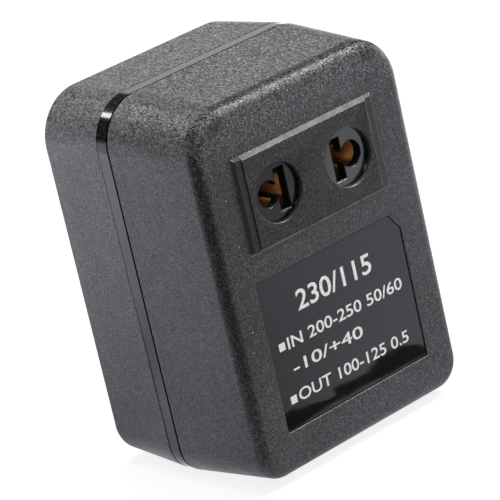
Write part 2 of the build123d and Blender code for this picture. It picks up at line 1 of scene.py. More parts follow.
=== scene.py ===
"""Dresses a plug-in travel voltage converter and sets it up for a plain studio picture.

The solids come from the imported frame, in metres. X runs to the right as seen from the front, Y from the
front face into the wall and Z upwards, and the origin lies midway between the plug pins.
"""

import logging
import math
from dataclasses import dataclass
from enum import Enum
from typing import Iterable

import bpy
from mathutils import Matrix, Vector


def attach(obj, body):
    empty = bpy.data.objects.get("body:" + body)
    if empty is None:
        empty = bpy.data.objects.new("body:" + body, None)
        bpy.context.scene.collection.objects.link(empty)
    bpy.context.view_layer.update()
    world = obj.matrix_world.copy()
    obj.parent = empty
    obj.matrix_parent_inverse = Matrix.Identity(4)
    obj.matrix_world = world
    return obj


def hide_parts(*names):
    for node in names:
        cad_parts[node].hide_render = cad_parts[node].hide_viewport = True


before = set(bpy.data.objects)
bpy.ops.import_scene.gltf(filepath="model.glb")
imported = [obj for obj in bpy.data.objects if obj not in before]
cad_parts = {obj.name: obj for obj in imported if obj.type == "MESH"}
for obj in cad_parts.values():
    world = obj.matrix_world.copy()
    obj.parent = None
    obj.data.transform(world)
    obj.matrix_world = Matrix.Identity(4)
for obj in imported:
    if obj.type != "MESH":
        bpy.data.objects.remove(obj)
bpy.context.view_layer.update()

MM = 0.001
FAR = 99.0
LOG = logging.getLogger("converter")

Node = bpy.types.ShaderNode
Socket = bpy.types.NodeSocket
Material = bpy.types.Material
Piece = bpy.types.Object
Number = float | Socket
Span = tuple[float, float]
Colour = tuple[float, float, float]
Place = tuple[float, float, float]

WHITE: Colour = (1.0, 1.0, 1.0)


class Side(Enum):
    """The two poles of the socket and the plug, by the sign of X."""

    LEFT = -1
    RIGHT = 1

    @property
    def word(self) -> str:
        """Returns the side's word in the nodes' names."""
        return self.name.lower()


class Half(Enum):
    """The two halves of the casing."""

    FRONT = "front_shell"
    REAR = "rear_shell"


@dataclass(frozen=True)
class Zone:
    """A stretch between two places along an axis, in millimetres, and how wide its soft edges are.

    The axis is X, Y or Z, or the same in small letters for the distance from its zero.
    """

    axis: str
    low: float
    high: float
    soft: float = 0.1


Patch = tuple[Zone, ...]


@dataclass(frozen=True)
class Ramp:
    """A soft change from one number to another between two places along an axis, in millimetres."""

    axis: str
    low: float
    high: float
    start: float = 0.0
    end: float = 1.0


@dataclass(frozen=True)
class Blotches:
    """Soft noise: its size in millimetres, its finer layers, and the range of it that becomes another."""

    size: float
    detail: float
    low: float
    high: float
    start: float = 0.0
    end: float = 1.0


@dataclass(frozen=True)
class Ripple:
    """Relief from soft noise: its size and depth in millimetres, its finer layers and how much shows."""

    size: float
    detail: float
    depth: float
    strength: float
    stretch: Colour | None = None


class NodeDesk:
    """Adds nodes to a shader tree and wires them together."""

    def __init__(self, tree: bpy.types.NodeTree) -> None:
        """Clears a tree and starts on it."""
        self.tree = tree
        self.tree.nodes.clear()

    def feed(self, socket: Socket, value: Number | Colour) -> None:
        """Links or sets one input.

        Args:
            socket: The input.
            value: Another node's output, a number or a colour.
        """
        if isinstance(value, bpy.types.NodeSocket):
            self.tree.links.new(value, socket)
        elif isinstance(value, tuple) and len(value) == 3 and socket.type == "RGBA":
            socket.default_value = (*value, 1.0)
        else:
            socket.default_value = value

    def node(self, kind: str, *values: Number | Colour | None, **settings: str) -> Node:
        """Adds a node.

        Args:
            kind: The node's type.
            values: What goes into its inputs in order, None where one is left alone.
            settings: Its options.

        Returns:
            The node.
        """
        made = self.tree.nodes.new(kind)
        for name, option in settings.items():
            setattr(made, name, option)
        for socket, value in zip(made.inputs, values):
            if value is not None:
                self.feed(socket, value)
        return made

    def calc(self, operation: str, *values: Number) -> Socket:
        """Does a sum on one to three numbers and returns its result."""
        return self.node("ShaderNodeMath", *values, operation=operation).outputs[0]

    def scaled(self, value: Number, factor: Number, offset: Number) -> Socket:
        """Returns a number times a factor, plus an offset."""
        return self.calc("MULTIPLY_ADD", value, factor, offset)

    def spread(self, value: Number, low: float, high: float, start: float = 0.0, end: float = 1.0) -> Socket:
        """Maps a range softly on another.

        Args:
            value: The number that runs over the range.
            low: Where the range starts.
            high: Where it ends.
            start: What the result is up to its start.
            end: What the result is from its end.

        Returns:
            The mapped number.
        """
        made = self.node(
            "ShaderNodeMapRange", value, low, high, start, end, interpolation_type="SMOOTHSTEP"
        )
        return made.outputs[0]

    def rays(self) -> tuple[Socket, Socket]:
        """Returns what is one on camera rays, and what is one on mirrored and refracted rays."""
        path = self.node("ShaderNodeLightPath").outputs
        return path["Is Camera Ray"], self.calc("MAXIMUM", path["Is Glossy Ray"], path["Is Transmission Ray"])

    def both(self, *masks: Number) -> Number:
        """Returns the product of several masks."""
        result = masks[0]
        for mask in masks[1:]:
            result = self.calc("MULTIPLY", result, mask)
        return result

    def either(self, *masks: Number) -> Number:
        """Returns the largest of several masks."""
        result = masks[0]
        for mask in masks[1:]:
            result = self.calc("MAXIMUM", result, mask)
        return result


class Bench(NodeDesk):
    """Lays out one material around a principled shader, on the piece's own coordinates."""

    def __init__(self, name: str) -> None:
        """Starts a material of that name."""
        self.material = bpy.data.materials.new(name)
        self.material.use_nodes = True
        super().__init__(self.material.node_tree)
        self.shader = self.node("ShaderNodeBsdfPrincipled")
        self.output = self.node("ShaderNodeOutputMaterial", self.shader.outputs["BSDF"])
        self.place = self.node("ShaderNodeTexCoord").outputs["Object"]
        split = self.node("ShaderNodeSeparateXYZ", self.place)
        self.axes = {axis: split.outputs[axis] for axis in "XYZ"}
        self.normal: Socket | None = None

    def mask(self, *zones: Zone) -> Number:
        """Returns a mask that is one where several zones meet and falls softly to zero outside them."""
        masks = []
        for zone in zones:
            value = self.axes[zone.axis.upper()]
            if zone.axis.islower():
                value = self.calc("ABSOLUTE", value)
            rise = self.spread(value, (zone.low - zone.soft) * MM, zone.low * MM)
            fall = self.spread(value, zone.high * MM, (zone.high + zone.soft) * MM, 1.0, 0.0)
            masks.append(self.calc("MULTIPLY", rise, fall))
        return self.both(*masks)

    def ramp(self, ramp: Ramp) -> Socket:
        """Returns a number that changes along an axis."""
        return self.spread(self.axes[ramp.axis], ramp.low * MM, ramp.high * MM, ramp.start, ramp.end)

    def stretched(self, stretch: Colour) -> Socket:
        """Returns the place on the piece, scaled by a factor along each axis."""
        return self.node("ShaderNodeMapping", self.place, None, None, stretch).outputs[0]

    def cloud(self, size: float, detail: float = 2.0, stretch: Colour | None = None) -> Socket:
        """Returns soft noise.

        Args:
            size: The size of its blotches, in millimetres.
            detail: How many finer layers it has.
            stretch: How much faster it changes along each axis.

        Returns:
            A number from about 0 to 1.
        """
        place = self.stretched(stretch) if stretch else self.place
        made = self.node("ShaderNodeTexNoise", place)
        made.inputs["Scale"].default_value = 1 / (size * MM)
        made.inputs["Detail"].default_value = detail
        return made.outputs[0]

    def blotches(self, noise: Blotches) -> Socket:
        """Returns soft noise with one range of it mapped on another."""
        cloud = self.cloud(noise.size, noise.detail)
        return self.spread(cloud, noise.low, noise.high, noise.start, noise.end)

    def cells(self, size: float, stretch: Colour | None = None) -> tuple[Socket, Socket, Socket]:
        """Scatters points and gives each the cell nearest to it.

        Args:
            size: How far apart the points are, in millimetres.
            stretch: How much closer they are along each axis.

        Returns:
            The distance to the nearest point, about 0 to 1, and two random numbers for its cell.
        """
        made = self.node("ShaderNodeTexVoronoi", self.stretched(stretch) if stretch else self.place)
        made.inputs["Scale"].default_value = 1 / (size * MM)
        split = self.node("ShaderNodeSeparateColor", made.outputs["Color"])
        return made.outputs["Distance"], split.outputs[0], split.outputs[1]

    def rings(self, value: Number, pitch: float) -> Socket:
        """Returns a wave along a value in metres, 1 at its crests.

        Args:
            value: The value, such as the place along an axis.
            pitch: The distance between crests, in millimetres.

        Returns:
            The wave's height, 0 to 1.
        """
        turn = self.calc("MULTIPLY", value, 2 * math.pi / (pitch * MM))
        return self.scaled(self.calc("COSINE", turn), 0.5, 0.5)

    def mix(self, mask: Number, first: Number | Colour, second: Number | Colour) -> Socket:
        """Mixes two colours.

        Args:
            mask: Zero for the first and one for the second.
            first: A colour.
            second: The other colour.

        Returns:
            The mixed colour.
        """
        made = self.node("ShaderNodeMix", data_type="RGBA")
        self.feed(made.inputs[0], mask)
        self.feed(made.inputs[6], first)
        self.feed(made.inputs[7], second)
        return made.outputs[2]

    def relief(self, height: Number, depth: float, strength: Number = 1.0) -> None:
        """Adds relief to the surface.

        Args:
            height: The height, 0 to 1.
            depth: How deep the relief is, in millimetres.
            strength: How much of it shows.
        """
        made = self.node("ShaderNodeBump")
        self.feed(made.inputs["Height"], height)
        self.feed(made.inputs["Distance"], depth * MM)
        self.feed(made.inputs["Strength"], strength)
        if self.normal:
            self.feed(made.inputs["Normal"], self.normal)
        self.normal = made.outputs[0]
        self.feed(self.shader.inputs["Normal"], self.normal)

    def ripple(self, *ripples: Ripple) -> None:
        """Adds relief from soft noise, one ripple over the other."""
        for ripple in ripples:
            height = self.cloud(ripple.size, ripple.detail, ripple.stretch)
            self.relief(height, ripple.depth, ripple.strength)

    def surface(self, **values: Number | Colour) -> None:
        """Sets inputs of the shader, named in small letters with underscores for blanks."""
        names = {socket.name.lower().replace(" ", "_"): socket for socket in self.shader.inputs}
        for name, value in values.items():
            self.feed(names[name], value)


@dataclass(frozen=True)
class Finish:
    """What every finish has: a name, and a recipe that lays out its nodes.

    In every finish, the two numbers of a relief are its depth in millimetres and how much of it shows.
    """

    name: str

    def recipe(self, bench: Bench) -> None:
        """Lays out the finish's nodes on a bench."""
        raise NotImplementedError

    def made(self) -> Material:
        """Returns the material of this finish."""
        bench = Bench(self.name)
        self.recipe(bench)
        return bench.material


Masks = dict[str, Number]
Levels = tuple[tuple[str, float], ...]


@dataclass(frozen=True)
class GrainedCase(Finish):
    """Black moulding with a spark-eroded grain, smoother inside, in the recesses and on the seam band.

    Attributes:
        features: Where the case's features lie.
        within: The features that count only inside another one.
        levels: How much more or less than usual a feature mirrors, as in the photograph.
        slopes: The same for features whose change isn't even.
        satin: How much rougher a feature is, of which the roughest counts.
    """

    tone: Colour = (0.0035, 0.0035, 0.0042)
    # The grain glint tone is painted light: a random light speckle that stands in for the glints of the
    # grain's facets.
    worn_tone: Colour = (0.178, 0.178, 0.187)
    # The edge highlight tone is painted light along the panel's step lines and foot, the pocket's rim and the
    # bevel.
    rubbed_tone: Colour = (0.20, 0.20, 0.21)
    dust_tone: Colour = (0.50, 0.50, 0.49)
    grain_size: float = 0.20
    grain_stretch: Colour = (1.0, 0.55, 1.0)
    grain_depth: float = 0.05
    fine_size: float = 0.6
    fine_share: float = 1.2
    sag: Ripple = Ripple(6.0, 1.0, 0.02, 0.4)
    panel_smooth: float = -0.35
    bevel_smooth: float = -0.7
    dust_spacing: float = 2.0
    dust_radius: Span = (0.035, 0.065)
    dust_chance: Span = (0.88, 0.9)
    case_half_width: float = 24.05
    case_top: float = 18.5
    case_bottom: float = 48.1
    case_radius: float = 8.0
    half_wall: float = 1.1
    skin_edge: float = 0.1
    seam: float = 18.0
    front_draw: float = 0.06
    rear_draw: float = 0.03
    features: tuple[tuple[str, Patch], ...] = (
        ("front_skin", (Zone("Y", -FAR, -37.0),)),
        ("rear_skin", (Zone("Y", -0.35, FAR),)),
        ("top", (Zone("Z", 14.5, FAR, 2.0),)),
        ("brow_middle", (Zone("Y", -36.9, -35.7, 0.6),)),
        ("brow_end", (Zone("x", 16.2, 18.2, 1.4),)),
        ("lower_face", (Zone("Y", -FAR, -36.5, 0.8),)),
        ("left_face", (Zone("Y", -FAR, -37.0, 0.6), Zone("X", -FAR, -18.0, 6.0))),
        ("right_face", (Zone("Y", -FAR, -37.0, 0.6), Zone("X", 17.0, FAR, 6.0))),
        ("flank", (Zone("X", -FAR, -22.6, 0.8), Zone("Y", -36.0, -18.1, 0.5))),
        ("band", (Zone("Y", -17.98, -15.02, 0.02),)),
        ("band_crown", (Zone("Z", 18.0, FAR, 0.6),)),
        ("band_shoulder", (Zone("Z", 11.0, 17.0, 1.0),)),
        ("band_side", (Zone("Z", -FAR, 9.0, 2.0),)),
        ("band_edge", (Zone("Y", -15.36, -15.0, 0.05),)),
        ("panel", (Zone("x", 0, 15.85), Zone("Z", -8.25, 8.5), Zone("Y", -FAR, -38.02, 0.03))),
        ("bevel", (Zone("Y", -38.62, -37.0, 0.03),)),
        ("land", (Zone("X", -15.25, -13.95), Zone("Y", -38.56, -37.0, 0.03))),
        ("recess", (Zone("x", 0, 13.2), Zone("z", 0, 5.1), Zone("Y", -38.64, -34, 0.03))),
        ("floor", (Zone("Y", -FAR, -37.68, 0.02),)),
        ("arris", (Zone("Y", -37.685, -37.58, 0.01),)),
        ("lips", (Zone("Y", -37.56, -34.0, 0.02),)),
        ("rim", (Zone("x", 2.6, 13.3), Zone("z", 0, 5.3), Zone("Y", -38.67, -38.4, 0.02))),
        ("pocket", (Zone("x", 0, 16.35), Zone("Z", -39.35, -13.0), Zone("Y", -37.96, -37.0, 0.03))),
        ("pocket_rim", (Zone("x", 0, 16.6), Zone("Z", -39.6, -12.75), Zone("Y", -37.985, -37.86, 0.01))),
        ("raised", (Zone("Y", -38.8, -37.98, 0.03), Zone("Z", -8.3, 8.4))),
        ("raised_foot", (Zone("x", 0, 15.9), Zone("Z", -8.3, -7.9, 0.06))),
        ("inner_line", (Zone("X", 13.84, 13.98, 0.06),)),
        ("outer_line", (Zone("X", 15.4, 15.52, 0.06),)),
    )
    within: tuple[tuple[str, tuple[str, ...]], ...] = (
        ("panel", ("bevel", "land")),
        ("recess", ("floor", "arris", "lips")),
        ("band", ("band_crown", "band_shoulder", "band_side")),
    )
    brow_fade: Ramp = Ramp("Y", -36.0, -18.0, 0.55, 0.2)
    # Painted light: the settings of the grain's glint speckle, namely how rare its bright grains are, how
    # much of it shows on and off the grain, how it rises towards the top and how much of it the brow loses.
    crest_power: float = 2.8
    crest_cover: Span = (0.85, 0.15)
    crest_rise: Ramp = Ramp("Z", 5.0, 14.0, 0.45, 1.0)
    crest_in_brow: float = -0.9
    # Painted light: the lower front gets more glint speckle, which makes it lighter.
    lower_wear: Ramp = Ramp("Z", -36.0, -12.0, 0.3, 0.0)
    rub: Blotches = Blotches(1.1, 3.0, 0.3, 0.6, 0.35, 1.0)
    rub_on_pocket_rim: float = 0.6
    rub_on_bevel: float = 0.15
    glint: float = 0.3
    glint_on_top: Ramp = Ramp("Y", -18.0, -14.0, 0.45, 0.6)
    level: float = 0.5
    smooth_level: float = -0.22
    levels: Levels = (
        ("rim", 0.45), ("lips", -0.26), ("brow", -0.2), ("arris", -0.3), ("land", -0.2),
        ("band_crown", 0.35), ("band_shoulder", -0.28),
    )
    slopes: tuple[tuple[str, Ramp], ...] = (
        ("band_side", Ramp("Z", -16.0, -6.0, 0.0, -0.14)),
        ("band_side", Ramp("Z", -40.0, -33.0, -0.14, 0.0)),
        ("band_edge", Ramp("Z", -26.0, -12.0, -0.26, 0.0)),
        ("flank", Ramp("Z", -34.0, -22.0, 0.0, 0.09)),
        ("left_face", Ramp("Z", -36.0, -22.0, 0.16, 0.0)),
        ("right_face", Ramp("Z", -12.0, 4.0, 0.0, -0.10)),
        ("floor", Ramp("X", -7.0, 7.0, -0.18, 0.34)),
    )
    rough: Blotches = Blotches(2.5, 3.0, 0.3, 0.7, 0.14, 0.20)
    band_gloss: float = -0.55
    grain_satin: float = 0.18
    satin: Levels = (
        ("bevel", 0.28), ("pocket_rim", 0.28), ("lips", 0.45), ("arris", 0.45), ("rim", 0.14),
    )
    ior: float = 1.62

    def outside(self, bench: Bench, at: Masks) -> Socket:
        """Returns a mask of the casing's outer skin, which leaves its inner faces out."""
        side = bench.calc("ABSOLUTE", bench.axes["X"])
        middle = (self.case_top - self.case_bottom) / 2
        height = (self.case_top + self.case_bottom) / 2
        rise = bench.calc("ABSOLUTE", bench.calc("SUBTRACT", bench.axes["Z"], middle * MM))
        squares = []
        for distance, half in ((side, self.case_half_width), (rise, height)):
            past = bench.calc("SUBTRACT", distance, (half - self.case_radius) * MM)
            squares.append(bench.calc("POWER", bench.calc("MAXIMUM", past, 0.0), 2.0))
        reach = bench.calc("SQRT", bench.calc("ADD", *squares))
        behind = bench.calc("ADD", bench.axes["Y"], self.seam * MM)
        drawn = bench.either(
            bench.calc("MULTIPLY", behind, -self.front_draw), bench.calc("MULTIPLY", behind, self.rear_draw)
        )
        skin = (self.case_radius - self.half_wall) * MM
        edge = self.skin_edge * MM
        return bench.either(
            bench.spread(bench.calc("ADD", reach, drawn), skin - edge, skin + edge),
            at["front_skin"],
            at["rear_skin"],
        )

    def masks(self, bench: Bench) -> Masks:
        """Returns the mask of each feature by name, and of the outer skin, its grained part and the brow."""
        at = {name: bench.mask(*patch) for name, patch in self.features}
        for whole, parts in self.within:
            at.update({part: bench.both(at[whole], at[part]) for part in parts})
        at["outside"] = self.outside(bench, at)
        at["grained"] = bench.both(
            at["outside"],
            bench.calc("SUBTRACT", 1.0, bench.either(at["band"], at["recess"], at["pocket"])),
            bench.scaled(at["panel"], self.panel_smooth, 1.0),
            bench.scaled(at["bevel"], self.bevel_smooth, 1.0),
        )
        # Painted shade: along the brow, a band behind the top's front edge, the glint speckle is taken out
        # and the mirroring turned down.
        brow_end = bench.both(at["brow_end"], bench.ramp(self.brow_fade))
        at["brow"] = bench.both(at["top"], bench.either(at["brow_middle"], brow_end))
        return at

    def colour(self, bench: Bench, at: Masks, luck: Socket) -> Socket:
        """Returns the colour: black, with a painted glint speckle on each lucky grain, painted edge
        highlights and dust.
        """
        # Painted light: the lower front is lightened with more speckle, fading out upwards.
        lower_wear = bench.both(at["lower_face"], bench.ramp(self.lower_wear))
        # Painted glints: the light speckle on the grain, stronger towards the top and on the lower front, and
        # taken out along the brow.
        crest = bench.both(
            bench.scaled(lower_wear, 1.0, 1.0),
            bench.calc("POWER", luck, self.crest_power),
            bench.scaled(at["grained"], *self.crest_cover),
            bench.ramp(self.crest_rise),
            bench.scaled(at["brow"], self.crest_in_brow, 1.0),
        )
        # Painted highlights: the panel's step lines and foot, the pocket's rim and the bevel are lightened,
        # mottled along the panel.
        painted_edge_highlight = bench.either(
            bench.both(
                at["raised"],
                bench.either(at["raised_foot"], at["inner_line"], at["outer_line"]),
                bench.blotches(self.rub),
            ),
            bench.calc("MULTIPLY", at["pocket_rim"], self.rub_on_pocket_rim),
            bench.calc("MULTIPLY", at["bevel"], self.rub_on_bevel),
        )
        spot, _, chosen = bench.cells(self.dust_spacing)
        dust = bench.both(
            at["outside"],
            bench.spread(spot, *self.dust_radius, 1.0, 0.0),
            bench.spread(chosen, *self.dust_chance),
        )
        with_painted_light = bench.mix(painted_edge_highlight, bench.mix(crest, self.tone, self.worn_tone), self.rubbed_tone)
        return bench.mix(dust, with_painted_light, self.dust_tone)

    def shine(self, bench: Bench, at: Masks, chance: Socket) -> Socket:
        """Returns how strongly each place mirrors, which also hangs on each grain's chance."""
        level = bench.scaled(bench.either(at["panel"], at["lips"]), self.smooth_level, self.level)
        for name, change in self.levels:
            level = bench.scaled(at[name], change, level)
        for name, slope in self.slopes:
            level = bench.scaled(at[name], bench.ramp(slope), level)
        glint = bench.both(
            at["grained"],
            bench.calc("SUBTRACT", chance, 0.5),
            bench.scaled(at["top"], bench.ramp(self.glint_on_top), self.glint),
        )
        return bench.calc("ADD", glint, level)

    def roughness(self, bench: Bench, at: Masks) -> Socket:
        """Returns the roughness: mottled, glossier on the band and satin on the grain and the edges."""
        edges = [bench.calc("MULTIPLY", at[name], amount) for name, amount in self.satin]
        satin = bench.scaled(at["grained"], self.grain_satin, bench.either(*edges))
        return bench.scaled(bench.blotches(self.rough), bench.scaled(at["band"], self.band_gloss, 1.0), satin)

    def recipe(self, bench: Bench) -> None:
        """Lays out the finish's nodes on a bench."""
        at = self.masks(bench)
        pits, luck, chance = bench.cells(self.grain_size, self.grain_stretch)
        fine = bench.cloud(self.grain_size * self.fine_size, 1.0)
        bench.relief(bench.scaled(fine, self.fine_share, pits), self.grain_depth, at["grained"])
        bench.ripple(self.sag)
        bench.surface(
            base_color=self.colour(bench, at, luck),
            roughness=self.roughness(bench, at),
            specular_ior_level=self.shine(bench, at, chance),
            ior=self.ior,
        )


@dataclass(frozen=True)
class LabelFilm(Finish):
    """Black label stock under a clear gloss film, which isn't quite flat."""

    tone: Colour = (0.0045, 0.0045, 0.005)
    faded_tone: Colour = (0.0065, 0.0065, 0.0072)
    waves: Ripple = Ripple(8.0, 0.5, 0.11, 0.62, (1.0, 1.0, 1.6))
    skin: Ripple = Ripple(0.5, 2.0, 0.002, 0.5)
    mottle: Blotches = Blotches(1.2, 3.0, 0.35, 0.65)
    rough: Blotches = Blotches(3.0, 2.0, 0.3, 0.7, 0.05, 0.085)
    ior: float = 1.58

    def recipe(self, bench: Bench) -> None:
        """Lays out the finish's nodes on a bench."""
        bench.ripple(self.waves, self.skin)
        bench.surface(
            base_color=bench.mix(bench.blotches(self.mottle), self.tone, self.faded_tone),
            roughness=bench.blotches(self.rough),
            ior=self.ior,
        )


@dataclass(frozen=True)
class PrintedInk(Finish):
    """White ink, a little uneven in its cover."""

    tone: Colour = (0.93, 0.93, 0.93)
    thin_tone: Colour = (0.76, 0.76, 0.765)
    skin: Ripple = Ripple(0.2, 2.0, 0.004, 0.6)
    cover: Blotches = Blotches(0.35, 3.0, 0.25, 0.6)
    rough: Span = (0.55, 0.42)

    def recipe(self, bench: Bench) -> None:
        """Lays out the finish's nodes on a bench."""
        cover = bench.blotches(self.cover)
        bench.ripple(self.skin)
        bench.surface(
            base_color=bench.mix(cover, self.thin_tone, self.tone),
            roughness=bench.spread(cover, 0.0, 1.0, *self.rough),
        )


@dataclass(frozen=True)
class StampedMetal(Finish):
    """Sheet or turned metal with drawn lines and a mottled tarnish, and a thread along Y if it has one.

    It is lit up to so many millimetres above and below its middle, and painted dark past that as painted
    shadow.
    """

    tone: Colour
    tarnish: Colour
    line_axis: str = "Y"
    line_size: float = 0.08
    line_stretch: float = 0.06
    line_relief: Span = (0.004, 0.8)
    line_rough: float = 0.08
    dents: Ripple = Ripple(0.9, 2.0, 0.01, 0.4)
    stain: Blotches = Blotches(2.4, 4.0, 0.38, 0.68)
    smooth: float = 0.22
    rough: float = 0.42
    bare: float = 1.0
    clean: float = 1.6
    clean_edge: float = 1.5
    shadow: float = 0.0
    shadow_tone: Colour = (0.02, 0.012, 0.008)
    thread: Span | None = None
    thread_edge: float = 0.2
    pitch: float = 1.0
    groove_power: float = 0.7
    groove_depth: float = 0.28

    def recipe(self, bench: Bench) -> None:
        """Lays out the finish's nodes on a bench."""
        stretch = tuple(1.0 if axis == self.line_axis else self.line_stretch for axis in "XYZ")
        lines = bench.cloud(self.line_size, 2.0, stretch)
        stain = bench.blotches(self.stain)
        bench.relief(lines, *self.line_relief)
        bench.ripple(self.dents)
        if self.thread:
            grooves = bench.calc("POWER", bench.rings(bench.axes["Y"], self.pitch), self.groove_power)
            threaded = bench.mask(Zone("Y", *self.thread, self.thread_edge))
            bench.relief(grooves, self.groove_depth * self.pitch, threaded)
        # Painted shadow: past that reach above and below the middle, the colour darkens towards the shadow
        # tone.
        side = bench.calc("ABSOLUTE", bench.axes["Z"])
        past = bench.spread(side, self.clean * MM, self.clean_edge * self.clean * MM)
        dark = bench.calc("MULTIPLY", past, self.shadow)
        polish = bench.spread(stain, 0.0, 1.0, self.smooth, self.rough)
        bench.surface(
            base_color=bench.mix(dark, bench.mix(stain, self.tone, self.tarnish), self.shadow_tone),
            metallic=self.bare,
            roughness=bench.scaled(lines, self.line_rough, polish),
        )


@dataclass(frozen=True)
class Moulding(Finish):
    """A plain moulded or extruded plastic with a satin skin, which may let some light in."""

    tone: Colour
    shade: Colour
    smooth: float = 0.30
    rough: float = 0.46
    glow: float = 0.0
    glow_depth: float = 1.2
    grain: Ripple = Ripple(0.16, 2.0, 0.012, 0.5)
    sinks: Ripple = Ripple(4.0, 1.0, 0.03, 0.35)
    flow: Blotches = Blotches(3.2, 3.0, 0.32, 0.68)

    def recipe(self, bench: Bench) -> None:
        """Lays out the finish's nodes on a bench."""
        bench.ripple(self.grain, self.sinks)
        bench.surface(
            base_color=bench.mix(bench.blotches(self.flow), self.tone, self.shade),
            roughness=bench.blotches(Blotches(0.8, 2.0, 0.3, 0.7, self.smooth, self.rough)),
            subsurface_weight=self.glow,
            subsurface_scale=self.glow_depth * MM,
        )


@dataclass(frozen=True)
class VarnishedSteel(Finish):
    """Stacked silicon-steel sheets, seen on edge across X, under a patchy brown varnish.

    Of two colours the first is for the gaps, and of two numbers it is for the bare steel.
    """

    sheet: float = 0.5
    edge_power: float = 0.35
    edge_relief: Span = (0.05, 0.9)
    skin: Ripple = Ripple(0.12, 2.0, 0.01, 0.5)
    cover: Blotches = Blotches(5.0, 4.0, 0.35, 0.66)
    steel: tuple[Colour, Colour] = ((0.06, 0.055, 0.05), (0.36, 0.36, 0.37))
    varnish: tuple[Colour, Colour] = ((0.045, 0.026, 0.012), (0.17, 0.10, 0.05))
    metal: Span = (0.85, 0.25)
    rough: Span = (0.48, 0.26)

    def recipe(self, bench: Bench) -> None:
        """Lays out the finish's nodes on a bench."""
        edges = bench.calc("POWER", bench.rings(bench.axes["X"], self.sheet), self.edge_power)
        cover = bench.blotches(self.cover)
        bench.relief(edges, *self.edge_relief)
        bench.ripple(self.skin)
        bench.surface(
            base_color=bench.mix(cover, bench.mix(edges, *self.steel), bench.mix(edges, *self.varnish)),
            metallic=bench.spread(cover, 0.0, 1.0, *self.metal),
            roughness=bench.spread(cover, 0.0, 1.0, *self.rough),
        )


@dataclass(frozen=True)
class EnamelledTurns(Finish):
    """Enamelled copper wire, wound turn beside turn along Y, a little uneven."""

    tone: Colour
    pitch: float = 0.35
    wander_size: float = 2.5
    wander: float = 0.16
    groove_tone: float = 0.25
    groove_power: float = 0.6
    groove_depth: float = 0.45
    groove_strength: float = 0.9
    burn: Blotches = Blotches(1.5, 3.0, 0.4, 0.7)
    burn_tone: Colour = (0.42, 0.10, 0.03)
    metal: float = 0.6
    rough: float = 0.24

    def recipe(self, bench: Bench) -> None:
        """Lays out the finish's nodes on a bench."""
        wander = bench.scaled(bench.cloud(self.wander_size, 1.0), self.wander * MM, bench.axes["Y"])
        crest = bench.rings(wander, self.pitch)
        # Painted shade: the grooves between turns are darkened to a fraction of the wire's colour.
        shade = bench.mix(crest, tuple(self.groove_tone * part for part in self.tone), self.tone)
        height = bench.calc("POWER", crest, self.groove_power)
        bench.relief(height, self.pitch * self.groove_depth, self.groove_strength)
        bench.surface(
            base_color=bench.mix(bench.blotches(self.burn), shade, self.burn_tone),
            metallic=self.metal,
            roughness=self.rough,
        )


@dataclass(frozen=True)
class FilmTape(Finish):
    """Polyester tape over the winding, with its overlaps and the wire ridges showing through."""

    tone: Colour = (0.62, 0.43, 0.06)
    fold_tone: Colour = (0.34, 0.20, 0.025)
    overlap: float = 4.9
    overlap_power: float = 14.0
    overlap_relief: Span = (0.05, 0.8)
    overlap_shade: float = 0.6
    ridge: float = 0.35
    ridge_relief: Span = (0.03, 0.4)
    crease_size: float = 1.6
    crease_stretch: Colour = (1.0, 3.0, 1.0)
    crease_relief: Span = (0.10, 0.5)
    crease_shade: float = 0.35
    rough: Span = (0.16, 0.34)

    def recipe(self, bench: Bench) -> None:
        """Lays out the finish's nodes on a bench."""
        along = bench.axes["Y"]
        laps = bench.calc("POWER", bench.rings(along, self.overlap), self.overlap_power)
        crease = bench.cloud(self.crease_size, 3.0, self.crease_stretch)
        bench.relief(bench.rings(along, self.ridge), *self.ridge_relief)
        bench.relief(laps, *self.overlap_relief)
        bench.relief(crease, *self.crease_relief)
        # Painted shade: the lap lines and the creases are darkened towards the tape's shade tone.
        shade = bench.spread(crease, 0.4, 0.8, 0.0, self.crease_shade)
        bench.surface(
            base_color=bench.mix(bench.scaled(laps, self.overlap_shade, shade), self.tone, self.fold_tone),
            roughness=bench.spread(crease, 0.3, 0.7, *self.rough),
        )


@dataclass(frozen=True)
class Foam(Finish):
    """Open-cell packing foam."""

    tone: Colour = (0.10, 0.10, 0.105)
    pore_tone: Colour = (0.018, 0.018, 0.02)
    pore_size: float = 0.32
    pore_relief: Span = (0.25, 0.9)
    rough: Span = (0.95, 0.8)

    def recipe(self, bench: Bench) -> None:
        """Lays out the finish's nodes on a bench."""
        pores, _, _ = bench.cells(self.pore_size)
        bench.relief(pores, *self.pore_relief)
        # Painted shade: the pores are darkened towards the pore shade tone.
        bench.surface(
            base_color=bench.mix(bench.spread(pores, 0.1, 0.6), self.pore_tone, self.tone),
            roughness=bench.spread(pores, 0.0, 0.6, *self.rough),
        )


